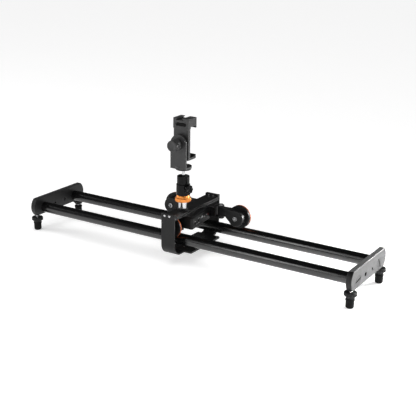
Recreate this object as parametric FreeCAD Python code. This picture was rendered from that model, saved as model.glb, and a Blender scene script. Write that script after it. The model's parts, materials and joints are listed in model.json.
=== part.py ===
import FreeCAD, Part
import math
import os

# Motorised twin-rail camera slider with a ball head and a phone clamp.
# Millimetres. X runs along the rails, -Y is the operator's side, Z is up.
# The origin is the centre of the bounding box at the surface that the feet stand on.

V = FreeCAD.Vector
PARTS = "parts"
os.makedirs(PARTS, exist_ok=True)

# ---- driving dimensions ---------------------------------------------------
RAIL_Z = 52.6              # height of the rail axes above the feet
RAIL_Y = 55.8              # rail axes either side of the centre plane
RAIL_R = 12.5
RAIL_BORE_R = 10.5
RAIL_FREE = 800.8          # rail length between the end plates
RAIL_SOCKET = 4.0          # depth that a rail enters a plate

PLATE_T = 12.0
PLATE_TOP = 25.75          # above the rail axes
PLATE_BOTTOM = -15.75
PLATE_STRAIGHT_Y = 81.0    # where the straight edges meet the round ends
PLATE_END_Y = 91.0
PLATE_EDGE_R = 1.0
PLATE_INNER_X = RAIL_FREE / 2
PLATE_MID_X = PLATE_INNER_X + PLATE_T / 2
PLATE_OUTER_X = PLATE_INNER_X + PLATE_T
THREAD_Y = 18.0            # tripod threads either side of the centre plane
THREAD_38_R = 4.7625
THREAD_14_R = 3.175

PLUG_HEAD_R = 13.0
PLUG_HEAD_T = 3.5
PLUG_BODY_R = 10.45
PLUG_IN_RAIL = 18.0
PLUG_SLOT_W = 2.6
PLUG_SLOT_D = 1.4

FOOT_Y = 76.4
STUD_R = 3.0
STUD_HOLE_DEPTH = 28.0
STUD_ENGAGED = 14.0
FOOT_R = 8.7
FOOT_COLLAR_R = 9.6
FOOT_COLLAR_T = 3.5
FOOT_HEIGHT = 20.0
FOOT_ROUND = 3.5
FOOT_STUD_Z = 6.0          # lower end of the stud, moulded into the rubber
NUT_R = 13.4
NUT_RIM_T = 7.5
NUT_BOSS_T = 4.0           # plain tapered collar under the scalloped rim
NUT_BOSS_R = (9.0, 10.2)
NUT_T = NUT_BOSS_T + NUT_RIM_T
NUT_SCALLOPS = 16
NUT_SCALLOP_R = 1.5
# name, side along X, side along Y, height of the lock nut's underside
FEET = [("near_left", -1, -1, FOOT_HEIGHT + 0.3),
        ("far_left", -1, 1, RAIL_Z + PLATE_BOTTOM - NUT_T - 0.3),
        ("near_right", 1, -1, FOOT_HEIGHT + 2.5),
        ("far_right", 1, 1, FOOT_HEIGHT + 2.5)]

STRAP_X0 = -32.75
STRAP_X1 = 1.25
STRAP_Y = 94.0
STRAP_T = 3.0
STRAP_TOP = 65.0
STRAP_BOTTOM = -31.0
STRAP_BEND_R = 25.0
STRAP_SCREW_X = (-23.5, -11.5)
STRAP_SCREW_Z = 61.0
M4_R = 2.0
M4_HEAD_R = 2.6

BAR_BOTTOM = 52.5
BAR_TOP = 60.0
BAR_LIP_T = 5.0
BAR_GROOVE_Z = (54.6, 57.0)
BAR_GROOVE_D = 2.2

BASE_X0 = -36.0
BASE_X1 = 24.0
BASE_Y = 61.0
BASE_T = 4.0
BASE_SCREW_Y = (-40.0, 40.0)
BASE_SCREW_X = (-24.0, -8.0)

CASE_X = -6.5              # middle of the motor case
CASE_NEAR_Y = -55.0
CASE_FAR_Y = 36.0
CASE_NEAR_HALF = 29.0
CASE_FAR_HALF = 18.0
CASE_BOTTOM = 25.0
CASE_SPLIT = 46.0
CASE_TOP = 52.5
CASE_WALL = 2.0
CASE_BEVEL = 2.5

HINGE_X = -4.5             # middle of the wheel arms
HINGE_Y = 41.0
HINGE_REACH = 41.5         # pivot pins either side of HINGE_X
HINGE_PIN_R = 3.0
HINGE_BEAM_HALF = 32.0
HINGE_RISER_T = 3.4
HINGE_Z = (30.0, 33.6, 57.4, 60.4)
ARM_WHEEL_REACH = 85.5     # wheel axles either side of HINGE_X
ARM_Y = (28.0, 44.8)
ARM_POD_R = 18.5
ARM_POD_START = 24.0
WHEEL_R = 26.0
WHEEL_GAP = 0.3
WHEEL_Z = RAIL_R + WHEEL_GAP + WHEEL_R
WHEEL_Y = (45.6, 54.8)
TYRE_Y0 = 51.4
TYRE_T = 1.3
AXLE_R = 4.0
RUN_FIT = 0.05             # radial clearance of turning parts

DRIVE_X = -20.2
DRIVE_Z = 30.0
DRIVE_TREAD_R = DRIVE_Z - RAIL_R - WHEEL_GAP
DRIVE_TREAD_Y = (-68.0, -56.6)
DRIVE_FLANGE_Y = (-77.0, -69.4)
DRIVE_RING_R = 24.5
DRIVE_RING_T = 2.6
DRIVE_RING_Y0 = -73.0      # the orange ring covers only the inner part of the flange
DRIVE_GAP = 0.8            # clearance of the ring inside the top bar
DRIVE_AXLE_R = 3.0

HEAD_X = -15.5
HEAD_Y = -34.5
SEAT_R = 11.5
SEAT_TOP = 65.4
NECK_R = 10.35
RING_Z = (80.5, 95.0)
RING_R = 17.6
HEAD_Z = (95.3, 119.0, 138.0)
HEAD_R = 15.4
CUP_R = 13.9
BALL_R = 11.0
BALL_Z = 124.0
STEM_R = 3.8
BALL_MOUTH_R = (7.6, 11.6)
PLATFORM_Z = (152.3, 156.0)
PLATFORM_R = 17.5
HEAD_KNOB_Z = 111.0
HEAD_KNOB_R = 10.9
HEAD_KNOB_LENGTH = 7.5
HEAD_KNOB_TURN = -22.0     # direction that the lock knob points, about the head's axis

CLAMP_X = -17.5
BRACKET_Y = (-53.0, -49.0)
BRACKET_HALF = 20.0
BRACKET_FOOT_T = 4.0
PIVOT_Z = 212.0
KNOB_Y = (-78.0, -53.3)
KNOB_R = 12.7
BODY_Y = (-42.0, -34.6)
BODY_HALF = 19.0
BODY_Z = (174.8, 243.0)
JAW_HALF = 20.0
JAW_Z = (243.3, 266.0)
JAW_TIP_Y = -11.7
PIVOT_BOSS_R = 9.0
ROD_X = 12.0
ROD_R = 1.5
SHOE_X = -20.8
SHOE_CAVITY = 18.8
SHOE_GAP = 12.8
SHOE_DEPTH = 4.6
SHOE_LIP = 1.8
PAD_T = 1.6


# ---- helpers --------------------------------------------------------------
def box(x0, x1, y0, y1, z0, z1):
    return Part.makeBox(x1 - x0, y1 - y0, z1 - z0, V(x0, y0, z0))


def rod_x(r, x0, x1, y, z):
    return Part.makeCylinder(r, x1 - x0, V(x0, y, z), V(1, 0, 0))


def rod_y(r, x, y0, y1, z):
    return Part.makeCylinder(r, y1 - y0, V(x, y0, z), V(0, 1, 0))


def rod_z(r, x, y, z0, z1):
    return Part.makeCylinder(r, z1 - z0, V(x, y, z0), V(0, 0, 1))


def cone_z(r0, r1, x, y, z0, z1):
    return Part.makeCone(r0, r1, z1 - z0, V(x, y, z0), V(0, 0, 1))


def line(a, b):
    return Part.LineSegment(a, b).toShape()


def arc(a, b, c):
    return Part.Arc(a, b, c).toShape()


def slab(edges, depth):
    """Closed outline pushed along the vector depth."""
    return Part.Face(Part.Wire(edges)).extrude(depth)


def polygon(points, depth):
    loop = points + points[:1]
    return slab([line(loop[i], loop[i + 1]) for i in range(len(points))], depth)


def union(shapes):
    result = shapes[0]
    for shape in shapes[1:]:
        result = result.fuse(shape)
    return result.removeSplitter()


def group(shapes):
    return Part.makeCompound(shapes)


def round_edges(shape, radius, wanted):
    """Fillet every edge that the test wanted(edge) picks."""
    edges = [edge for edge in shape.Edges if wanted(edge)]
    return shape.makeFillet(radius, edges) if edges else shape


def bevel_edges(shape, size, wanted):
    edges = [edge for edge in shape.Edges if wanted(edge)]
    return shape.makeChamfer(size, edges) if edges else shape


def is_parallel(edge, direction):
    ends = [vertex.Point for vertex in edge.Vertexes]
    if len(ends) < 2 or edge.Length < 1e-6:
        return False
    run = ends[1].sub(ends[0])
    return run.Length > 1e-6 and abs(abs(run.normalize().dot(direction)) - 1) < 1e-6


def lies_at(edge, axis, value):
    """True when the whole edge lies in the plane axis = value."""
    low = {"x": edge.BoundBox.XMin, "y": edge.BoundBox.YMin, "z": edge.BoundBox.ZMin}[axis]
    high = {"x": edge.BoundBox.XMax, "y": edge.BoundBox.YMax, "z": edge.BoundBox.ZMax}[axis]
    return abs(low - value) < 1e-3 and abs(high - value) < 1e-3


def scallops(r, count, notch_r, depth_vector, centre, spread):
    """Small round notches on a circle; spread(angle) gives each one's place."""
    notches = []
    for i in range(count):
        angle = 2 * math.pi * i / count
        base = centre.add(spread(angle).multiply(r))
        notches.append(Part.makeCylinder(notch_r, depth_vector.Length, base, depth_vector))
    return notches


def around_z(angle):
    return V(math.cos(angle), math.sin(angle), 0)


def around_y(angle):
    return V(math.cos(angle), 0, math.sin(angle))


def around_x(angle):
    return V(0, math.cos(angle), math.sin(angle))


def up(z):
    """Height above the feet of a level given from the rail axes."""
    return RAIL_Z + z


def save(name, shape):
    shape.exportStep(os.path.join(PARTS, name + ".step"))
    print(name, len(shape.Solids), shape.isValid(), round(shape.Volume / 1000, 2), "cm3")


# ---- rails and end plates -------------------------------------------------
def end_plate(side):
    """Flat bar across the rails with bulging round ends; the right one is turned for the left."""
    top = up(PLATE_TOP)
    bottom = up(PLATE_BOTTOM)
    middle = (top + bottom) / 2
    x = PLATE_INNER_X
    edges = [line(V(x, -PLATE_STRAIGHT_Y, bottom), V(x, PLATE_STRAIGHT_Y, bottom)),
             arc(V(x, PLATE_STRAIGHT_Y, bottom), V(x, PLATE_END_Y, middle), V(x, PLATE_STRAIGHT_Y, top)),
             line(V(x, PLATE_STRAIGHT_Y, top), V(x, -PLATE_STRAIGHT_Y, top)),
             arc(V(x, -PLATE_STRAIGHT_Y, top), V(x, -PLATE_END_Y, middle), V(x, -PLATE_STRAIGHT_Y, bottom))]
    plate = slab(edges, V(PLATE_T, 0, 0))
    plate = round_edges(plate, PLATE_EDGE_R,
                        lambda e: lies_at(e, "x", PLATE_OUTER_X) or lies_at(e, "x", PLATE_INNER_X))
    cuts = [rod_x(THREAD_38_R, PLATE_INNER_X - 1, PLATE_OUTER_X + 1, -THREAD_Y, up(0)),
            rod_x(THREAD_14_R, PLATE_INNER_X - 1, PLATE_OUTER_X + 1, THREAD_Y, up(0))]
    for y in (-RAIL_Y, RAIL_Y):
        cuts.append(rod_x(RAIL_R, PLATE_INNER_X - 1, PLATE_INNER_X + RAIL_SOCKET, y, up(0)))
        cuts.append(rod_x(PLUG_BODY_R, PLATE_INNER_X, PLATE_OUTER_X, y, up(0)))
        cuts.append(rod_x(PLUG_HEAD_R, PLATE_OUTER_X - PLUG_HEAD_T, PLATE_OUTER_X + 1, y, up(0)))
    for y in (-FOOT_Y, FOOT_Y):
        cuts.append(rod_z(STUD_R + RUN_FIT, PLATE_MID_X, y, bottom - 1, bottom + STUD_HOLE_DEPTH))
    for cut in cuts:
        plate = plate.cut(cut)
    if side < 0:
        plate.rotate(V(0, 0, 0), V(0, 0, 1), 180)
    return plate


def rail(y):
    half = PLATE_INNER_X + RAIL_SOCKET
    return rod_x(RAIL_R, -half, half, y, up(0)).cut(rod_x(RAIL_BORE_R, -half, half, y, up(0)))


def end_plug(side, y, turn):
    """Slotted screw plug that clamps a plate to a rail end."""
    head = rod_x(PLUG_HEAD_R, PLATE_OUTER_X - PLUG_HEAD_T, PLATE_OUTER_X, y, up(0))
    body = rod_x(PLUG_BODY_R, PLATE_INNER_X + RAIL_SOCKET - PLUG_IN_RAIL, PLATE_OUTER_X - PLUG_HEAD_T, y, up(0))
    slot = box(PLATE_OUTER_X - PLUG_SLOT_D, PLATE_OUTER_X + 1, y - PLUG_HEAD_R, y + PLUG_HEAD_R,
               up(-PLUG_SLOT_W / 2), up(PLUG_SLOT_W / 2))
    slot.rotate(V(PLATE_OUTER_X, y, up(0)), V(1, 0, 0), turn)
    plug = head.fuse(body).removeSplitter().cut(slot)
    if side < 0:
        plug.rotate(V(0, 0, 0), V(0, 0, 1), 180)
    return plug


def build_rails():
    save("end_plate_right", end_plate(1))
    save("end_plate_left", end_plate(-1))
    save("rail_tube_near", rail(-RAIL_Y))
    save("rail_tube_far", rail(RAIL_Y))
    plugs = [end_plug(side, y, turn) for side in (-1, 1) for y, turn in ((-RAIL_Y, 8), (RAIL_Y, -55))]
    save("tube_end_plugs", group(plugs))


# ---- levelling feet -------------------------------------------------------
def rubber_foot(x, y):
    foot = union([rod_z(FOOT_R, x, y, 0, FOOT_HEIGHT),
                  rod_z(FOOT_COLLAR_R, x, y, FOOT_HEIGHT - FOOT_COLLAR_T, FOOT_HEIGHT)])
    foot = round_edges(foot, FOOT_ROUND, lambda e: lies_at(e, "z", 0))
    foot = round_edges(foot, 0.8, lambda e: lies_at(e, "z", FOOT_HEIGHT))
    return foot.cut(rod_z(STUD_R, x, y, FOOT_STUD_Z, FOOT_HEIGHT + 1))


def foot_stud(x, y):
    stud = rod_z(STUD_R, x, y, FOOT_STUD_Z, up(PLATE_BOTTOM) + STUD_ENGAGED)
    return bevel_edges(stud, 0.5, lambda e: lies_at(e, "z", up(PLATE_BOTTOM) + STUD_ENGAGED))


def lock_nut(x, y, z):
    """Finger nut on the stud: a scalloped rim over a tapered collar."""
    rim_z = z + NUT_BOSS_T
    top = z + NUT_T
    rim = rod_z(NUT_R, x, y, rim_z, top)
    rim = bevel_edges(rim, 0.9, lambda e: lies_at(e, "z", rim_z) or lies_at(e, "z", top))
    for notch in scallops(NUT_R + 0.6, NUT_SCALLOPS, NUT_SCALLOP_R, V(0, 0, NUT_RIM_T), V(x, y, rim_z), around_z):
        rim = rim.cut(notch)
    nut = union([rim, cone_z(*NUT_BOSS_R, x, y, z, rim_z)])
    return nut.cut(rod_z(STUD_R + RUN_FIT, x, y, z - 1, top + 1))


def build_feet():
    for name, side_x, side_y, nut_z in FEET:
        x = side_x * PLATE_MID_X
        y = side_y * FOOT_Y
        save("rubber_foot_" + name, rubber_foot(x, y))
        save("foot_stud_" + name, foot_stud(x, y))
        save("lock_nut_" + name, lock_nut(x, y, nut_z))


# ---- retaining strap, base plate and top bar ------------------------------
def u_block(half_y, z_bottom, z_top, bend_r):
    """Solid U outline with two round lower corners, as wide as the strap."""
    x = STRAP_X0
    k = bend_r * (1 - math.sqrt(0.5))
    low = up(z_bottom)
    top = up(z_top)
    edges = [line(V(x, -half_y, top), V(x, -half_y, low + bend_r)),
             arc(V(x, -half_y, low + bend_r), V(x, -half_y + k, low + k), V(x, -half_y + bend_r, low)),
             line(V(x, -half_y + bend_r, low), V(x, half_y - bend_r, low)),
             arc(V(x, half_y - bend_r, low), V(x, half_y - k, low + k), V(x, half_y, low + bend_r)),
             line(V(x, half_y, low + bend_r), V(x, half_y, top)),
             line(V(x, half_y, top), V(x, -half_y, top))]
    return slab(edges, V(STRAP_X1 - STRAP_X0, 0, 0))


def retaining_strap():
    outer = u_block(STRAP_Y, STRAP_BOTTOM, STRAP_TOP, STRAP_BEND_R)
    inner = u_block(STRAP_Y - STRAP_T, STRAP_BOTTOM + STRAP_T, STRAP_TOP, STRAP_BEND_R - STRAP_T)
    strap = outer.cut(inner)
    for x in STRAP_SCREW_X:
        strap = strap.cut(rod_y(M4_R, x, -STRAP_Y - 1, STRAP_Y + 1, up(STRAP_SCREW_Z)))
    for x in BASE_SCREW_X:
        for y in BASE_SCREW_Y:
            strap = strap.cut(rod_z(M4_R, x, y, up(STRAP_BOTTOM) - 1, up(STRAP_BOTTOM) + STRAP_T + 1))
    return strap


def base_plate():
    low = up(STRAP_BOTTOM + STRAP_T)
    plate = box(BASE_X0, BASE_X1, -BASE_Y, BASE_Y, low, low + BASE_T)
    plate = round_edges(plate, 3.0, lambda e: is_parallel(e, V(0, 0, 1)))
    for x in BASE_SCREW_X:
        for y in BASE_SCREW_Y:
            plate = plate.cut(rod_z(M4_R, x, y, low - 1, low + BASE_T + 1))
    return plate


def top_bar():
    """Grooved bar that carries the head; its turned-up ends take the strap's screws."""
    end = STRAP_Y - STRAP_T
    bar = box(STRAP_X0, STRAP_X1, -end, end, up(BAR_BOTTOM), up(BAR_TOP))
    lips = [box(STRAP_X0, STRAP_X1, -end, -end + BAR_LIP_T, up(BAR_TOP), up(STRAP_TOP)),
            box(STRAP_X0, STRAP_X1, end - BAR_LIP_T, end, up(BAR_TOP), up(STRAP_TOP))]
    seat = rod_z(SEAT_R, HEAD_X, HEAD_Y, up(BAR_TOP), up(SEAT_TOP))
    bar = union([bar] + lips + [seat])
    for x0, x1 in ((STRAP_X0 - 1, STRAP_X0 + BAR_GROOVE_D), (STRAP_X1 - BAR_GROOVE_D, STRAP_X1 + 1)):
        bar = bar.cut(box(x0, x1, -end - 1, end + 1, up(BAR_GROOVE_Z[0]), up(BAR_GROOVE_Z[1])))
    for x in STRAP_SCREW_X:
        bar = bar.cut(rod_y(M4_R, x, -end - 1, -end + BAR_LIP_T + 4, up(STRAP_SCREW_Z)))
        bar = bar.cut(rod_y(M4_R, x, end - BAR_LIP_T - 4, end + 1, up(STRAP_SCREW_Z)))
    bar = bar.cut(rod_y(DRIVE_RING_R + DRIVE_GAP, DRIVE_X, DRIVE_FLANGE_Y[0] - DRIVE_GAP,
                        DRIVE_FLANGE_Y[1] + DRIVE_GAP, up(DRIVE_Z)))
    return bar.cut(rod_z(STUD_R, HEAD_X, HEAD_Y, up(BAR_BOTTOM) - 1, up(SEAT_TOP) + 1))


def pan_screw_y(x, z, side):
    """Domed screw through the strap's upright into a turned-up end of the bar."""
    face = STRAP_Y
    head = rod_y(M4_HEAD_R, x, face, face + 1.4, z)
    head = round_edges(head, 0.9, lambda e: lies_at(e, "y", face + 1.4))
    shank = rod_y(M4_R, x, face - STRAP_T - BAR_LIP_T, face, z)
    screw = head.fuse(shank).removeSplitter().cut(rod_y(0.9, x, face + 0.5, face + 2, z))
    if side < 0:
        screw = screw.mirror(V(0, 0, 0), V(0, 1, 0))
    return screw


def base_screw(x, y):
    low = up(STRAP_BOTTOM)
    head = rod_z(M4_HEAD_R + 0.8, x, y, low - 1.8, low)
    shank = rod_z(M4_R, x, y, low, low + STRAP_T + BASE_T)
    return head.fuse(shank).removeSplitter().cut(rod_z(1.2, x, y, low - 2, low - 0.8))


def build_strap():
    save("retaining_strap", retaining_strap())
    save("base_plate", base_plate())
    save("top_bar", top_bar())
    screws = [pan_screw_y(x, up(STRAP_SCREW_Z), side) for side in (-1, 1) for x in STRAP_SCREW_X]
    screws += [base_screw(x, y) for x in BASE_SCREW_X for y in BASE_SCREW_Y]
    save("carriage_screws", group(screws))


# ---- motor case -----------------------------------------------------------
def case_block(inset, z0, z1):
    """Wedge-shaped plan, wide at the drive end, drawn in by inset."""
    near = CASE_NEAR_Y + inset
    far = CASE_FAR_Y - inset
    taper = (CASE_NEAR_HALF - CASE_FAR_HALF) / (CASE_FAR_Y - CASE_NEAR_Y)
    near_half = CASE_NEAR_HALF - inset - taper * inset
    far_half = CASE_FAR_HALF - inset + taper * inset
    points = [V(CASE_X - near_half, near, up(z0)), V(CASE_X + near_half, near, up(z0)),
              V(CASE_X + far_half, far, up(z0)), V(CASE_X - far_half, far, up(z0))]
    return polygon(points, V(0, 0, z1 - z0))


PANEL_ANGLE = math.degrees(math.atan2(CASE_NEAR_HALF - CASE_FAR_HALF, CASE_FAR_Y - CASE_NEAR_Y))


def on_panel(shape):
    """Move a shape from the panel's own frame (x outward, y along, z up) to its place."""
    shape.rotate(V(0, 0, 0), V(0, 0, 1), PANEL_ANGLE)
    shape.translate(V(CASE_X + CASE_NEAR_HALF, CASE_NEAR_Y, 0))
    return shape


GEARBOX = (-30.0, -10.0, -53.0, -44.0, 19.0, 41.0)
MOTOR_X = -17.0
MOTOR_R = 7.5
MOTOR_Z = 36.5
MOTOR_END_Y = -12.0
BUTTON_FLANGE_T = 0.6
POD_WALL = 2.0
SWITCH_Y = 52.0            # places along the panel and heights above the rail axes
SWITCH_Z = 42.0
SPEED_Y = 33.0
SPEED_Z = 38.0
DIRECTION_Y = 17.0
DIRECTION_Z = 36.0
LAMP_Y = 80.0
LAMP_Z = 38.5
PORT_Y = 68.0
PORT_Z = 34.5
BUTTON_LENGTH = 9.0
BUTTON_HEIGHT = 4.0
BUTTON_PROUD = 1.2
SLOT_LENGTH = 13.0
SLOT_HEIGHT = 4.4
SLIDER_LENGTH = 6.0


def pill(length, height, x0, x1, y, z):
    """Round-ended bar along the panel, from depth x0 to x1."""
    r = height / 2
    half = length / 2 - r
    return union([box(x0, x1, y - half, y + half, z - r, z + r),
                  rod_x(r, x0, x1, y - half, z), rod_x(r, x0, x1, y + half, z)])


def gearbox_block(grow):
    x0, x1, y0, y1, z0, z1 = GEARBOX
    return box(x0 - grow, x1 + grow, CASE_NEAR_Y + POD_WALL - grow, y1 + grow, up(z0 - grow), up(z1))


def case_shell():
    shell = case_block(0, CASE_BOTTOM, CASE_SPLIT)
    shell = round_edges(shell, 5.0, lambda e: is_parallel(e, V(0, 0, 1)))
    shell = round_edges(shell, 2.0, lambda e: lies_at(e, "z", up(CASE_BOTTOM)))
    pod = gearbox_block(POD_WALL).common(case_block(0, GEARBOX[4] - POD_WALL, CASE_SPLIT))
    shell = union([shell, pod])
    shell = shell.cut(case_block(CASE_WALL, CASE_BOTTOM + CASE_WALL, CASE_SPLIT + 1))
    shell = shell.cut(gearbox_block(0.2))
    shell = shell.cut(rod_y(6.0, DRIVE_X, CASE_NEAR_Y - 1, CASE_NEAR_Y + 4, up(DRIVE_Z)))
    cuts = [pill(SLOT_LENGTH, SLOT_HEIGHT, -4, 2, SWITCH_Y, up(SWITCH_Z)),
            pill(BUTTON_LENGTH + 0.4, BUTTON_HEIGHT + 0.4, -4, 2, SPEED_Y, up(SPEED_Z)),
            pill(BUTTON_LENGTH + 0.4, BUTTON_HEIGHT + 0.4, -4, 2, DIRECTION_Y, up(DIRECTION_Z)),
            rod_x(1.6, -4, 2, LAMP_Y, up(LAMP_Z)),
            pill(9.4, 3.6, -4, 2, PORT_Y, up(PORT_Z))]
    for cut in cuts:
        shell = shell.cut(on_panel(cut))
    return shell


def case_lid():
    lid = case_block(0, CASE_SPLIT, CASE_TOP)
    lid = round_edges(lid, 5.0, lambda e: is_parallel(e, V(0, 0, 1)))
    lid = bevel_edges(lid, CASE_BEVEL, lambda e: lies_at(e, "z", up(CASE_TOP)))
    return lid.cut(case_block(CASE_WALL, CASE_SPLIT - 1, CASE_TOP - CASE_WALL))


def gear_motor():
    """Flat gearbox with a round motor lying over it."""
    x0, x1, y0, y1, z0, z1 = GEARBOX
    gearbox = box(x0, x1, y0, y1, up(z0), up(z1))
    motor = rod_y(MOTOR_R, MOTOR_X, y1, MOTOR_END_Y, up(MOTOR_Z))
    body = union([gearbox, motor])
    return body.cut(rod_y(DRIVE_AXLE_R + RUN_FIT, DRIVE_X, y0 - 1, y1 - 1, up(DRIVE_Z)))


def build_case():
    save("case_shell", case_shell())
    save("case_lid", case_lid())
    save("gear_motor", gear_motor())
    save("battery_pack", box(-21.0, 5.0, -8.0, 32.0, up(28.0), up(45.0)))
    board = [box(-22.0, 8.0, -48.0, 28.0, up(47.2), up(48.8))]
    board += [rod_z(1.5, px, py, up(48.8), up(CASE_TOP - CASE_WALL)) for px in (-19.0, 5.0) for py in (-45.0, 25.0)]
    save("circuit_board", union(board))
    slider = union([pill(SLIDER_LENGTH, 3.4, -2.5, 1.2, SWITCH_Y - 3.0, up(SWITCH_Z)),
                    box(-3.2, -2.5, SWITCH_Y - 7.0, SWITCH_Y + 1.0, up(SWITCH_Z - 2.8), up(SWITCH_Z + 2.8))])
    save("power_slider", on_panel(slider))
    for name, y, z in (("speed_button", SPEED_Y, SPEED_Z), ("direction_button", DIRECTION_Y, DIRECTION_Z)):
        cap = pill(BUTTON_LENGTH, BUTTON_HEIGHT, -CASE_WALL - 0.4, BUTTON_PROUD, y, up(z))
        back = -CASE_WALL - 0.4
        flange = pill(BUTTON_LENGTH + 2, BUTTON_HEIGHT + 2, back - BUTTON_FLANGE_T, back, y, up(z))
        save(name, on_panel(union([cap, flange])))
    save("indicator_lamp", on_panel(rod_x(1.6, -2.5, 0.5, LAMP_Y, up(LAMP_Z))))
    port = pill(9.4, 3.6, -6.0, 0.0, PORT_Y, up(PORT_Z)).cut(pill(8.6, 2.8, -5.0, 1.0, PORT_Y, up(PORT_Z)))
    tongue = box(-5.0, -1.0, PORT_Y - 3.0, PORT_Y + 3.0, up(PORT_Z - 0.4), up(PORT_Z + 0.4))
    save("charge_port", on_panel(port.fuse(tongue)))


# ---- drive wheel ----------------------------------------------------------
def ring_y(r_out, r_in, x, y0, y1, z):
    return rod_y(r_out, x, y0, y1, z).cut(rod_y(r_in, x, y0 - 1, y1 + 1, z))


def build_drive_wheel():
    x = DRIVE_X
    z = up(DRIVE_Z)
    tread0, tread1 = DRIVE_TREAD_Y
    flange0, flange1 = DRIVE_FLANGE_Y
    ring_in = DRIVE_RING_R - DRIVE_RING_T
    bore = rod_y(DRIVE_AXLE_R, x, flange0 - 10, tread1 + 1, z)
    hub = union([rod_y(DRIVE_RING_R, x, flange0 + 1.2, DRIVE_RING_Y0, z),
                 rod_y(ring_in, x, DRIVE_RING_Y0, flange1, z),
                 rod_y(DRIVE_TREAD_R - 3, x, flange1, tread1, z),
                 rod_y(8.0, x, flange0 - 1.5, flange0 + 1.2, z)])
    hub = hub.cut(ring_y(ring_in - 3, 10.5, x, flange0 - 2, flange0 + 3.4, z)).cut(bore)
    save("drive_hub", hub)
    ring = ring_y(DRIVE_RING_R, ring_in, x, DRIVE_RING_Y0, flange1, z)
    save("drive_ring", round_edges(ring, 0.6, lambda e: e.BoundBox.ZLength > 2 * ring_in + 1))
    save("drive_tyre", ring_y(DRIVE_TREAD_R, DRIVE_TREAD_R - 3, x, tread0, tread1, z))
    axle = union([rod_y(DRIVE_AXLE_R, x, flange0 - 1.5, -46.0, z),
                  rod_y(4.6, x, flange0 - 3.2, flange0 - 1.5, z)])
    save("drive_axle", axle)
    save("axle_bearing", ring_y(6.0, DRIVE_AXLE_R + RUN_FIT, x, CASE_NEAR_Y, CASE_NEAR_Y + 1.8, z))


# ---- wheel arms -----------------------------------------------------------
def side_x(side, reach):
    return HINGE_X + side * reach


def span(side, a, b):
    """Ordered X limits of a stretch that starts a and ends b from the middle."""
    ends = sorted((side_x(side, a), side_x(side, b)))
    return ends[0], ends[1]


def hinge_block():
    """Beam behind the case with a fork at each end for the wheel arms."""
    z0, z1, z2, z3 = [up(z) for z in HINGE_Z]
    shapes = [box(side_x(-1, HINGE_BEAM_HALF), side_x(1, HINGE_BEAM_HALF), CASE_FAR_Y, CASE_FAR_Y + 10,
                  z0, up(CASE_TOP))]
    for side in (-1, 1):
        x0, x1 = span(side, HINGE_BEAM_HALF - HINGE_RISER_T, HINGE_BEAM_HALF)
        shapes.append(box(x0, x1, HINGE_Y - 7.5, HINGE_Y + 7.5, z0, z3))
        x0, x1 = span(side, HINGE_BEAM_HALF - HINGE_RISER_T, HINGE_REACH)
        for low, high in ((z0, z1), (z2, z3)):
            shapes.append(box(x0, x1, HINGE_Y - 7.5, HINGE_Y + 7.5, low, high))
            shapes.append(rod_z(7.5, side_x(side, HINGE_REACH), HINGE_Y, low, high))
    block = union(shapes)
    for side in (-1, 1):
        block = block.cut(rod_z(HINGE_PIN_R, side_x(side, HINGE_REACH), HINGE_Y, z0 - 1, z3 + 1))
    return block


def pivot_pin(side):
    """Socket-head clamp screw that an arm turns on."""
    x = side_x(side, HINGE_REACH)
    z0 = up(HINGE_Z[0])
    z3 = up(HINGE_Z[3])
    pin = union([rod_z(HINGE_PIN_R, x, HINGE_Y, z0 - 1.5, z3), rod_z(5.0, x, HINGE_Y, z3, z3 + 2.0)])
    return pin.cut(rod_z(1.8, x, HINGE_Y, z3 + 0.6, z3 + 3))


def arm(side):
    """Cranked arm: a knuckle on the pivot, a link, and a round-ended pod that holds the wheel."""
    z_low = up(HINGE_Z[1]) + 0.3
    z_high = up(HINGE_Z[2]) - 0.3
    pod_top = up(WHEEL_Z) + ARM_POD_R
    wheel_x = side_x(side, ARM_WHEEL_REACH)
    start_x = side_x(side, ARM_WHEEL_REACH - ARM_POD_START)
    y0, y1 = ARM_Y
    zc = up(WHEEL_Z)
    tip_x = wheel_x + side * ARM_POD_R
    tangent = math.radians(215)
    low_point = V(wheel_x + side * ARM_POD_R * math.cos(tangent), y0, zc + ARM_POD_R * math.sin(tangent))
    mid_angle = math.radians(-55)
    mid_point = V(wheel_x + side * ARM_POD_R * math.cos(mid_angle), y0, zc + ARM_POD_R * math.sin(mid_angle))
    pod_edges = [line(V(start_x, y0, pod_top), V(wheel_x, y0, pod_top)),
                 arc(V(wheel_x, y0, pod_top), V(wheel_x + side * ARM_POD_R * math.cos(math.radians(45)), y0,
                                                zc + ARM_POD_R * math.sin(math.radians(45))), V(tip_x, y0, zc)),
                 arc(V(tip_x, y0, zc), mid_point, low_point),
                 line(low_point, V(start_x, y0, z_low + 3)),
                 line(V(start_x, y0, z_low + 3), V(start_x, y0, pod_top))]
    pod = slab(pod_edges, V(0, y1 - y0, 0))
    pod = round_edges(pod, 2.0, lambda e: lies_at(e, "y", y0) and not lies_at(e, "x", start_x))
    x0, x1 = span(side, HINGE_REACH, ARM_WHEEL_REACH - ARM_POD_START + 2)
    link = box(x0, x1, HINGE_Y - 7.5, y1, z_low + 3, z_high)
    knuckle = rod_z(7.5, side_x(side, HINGE_REACH), HINGE_Y, z_low, z_high)
    body = union([pod, link, knuckle])
    body = body.cut(rod_z(HINGE_PIN_R + RUN_FIT, side_x(side, HINGE_REACH), HINGE_Y, z_low - 1, z_high + 1))
    return body.cut(rod_y(AXLE_R, wheel_x, y0 - 1, y1 + 1, zc))


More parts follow.
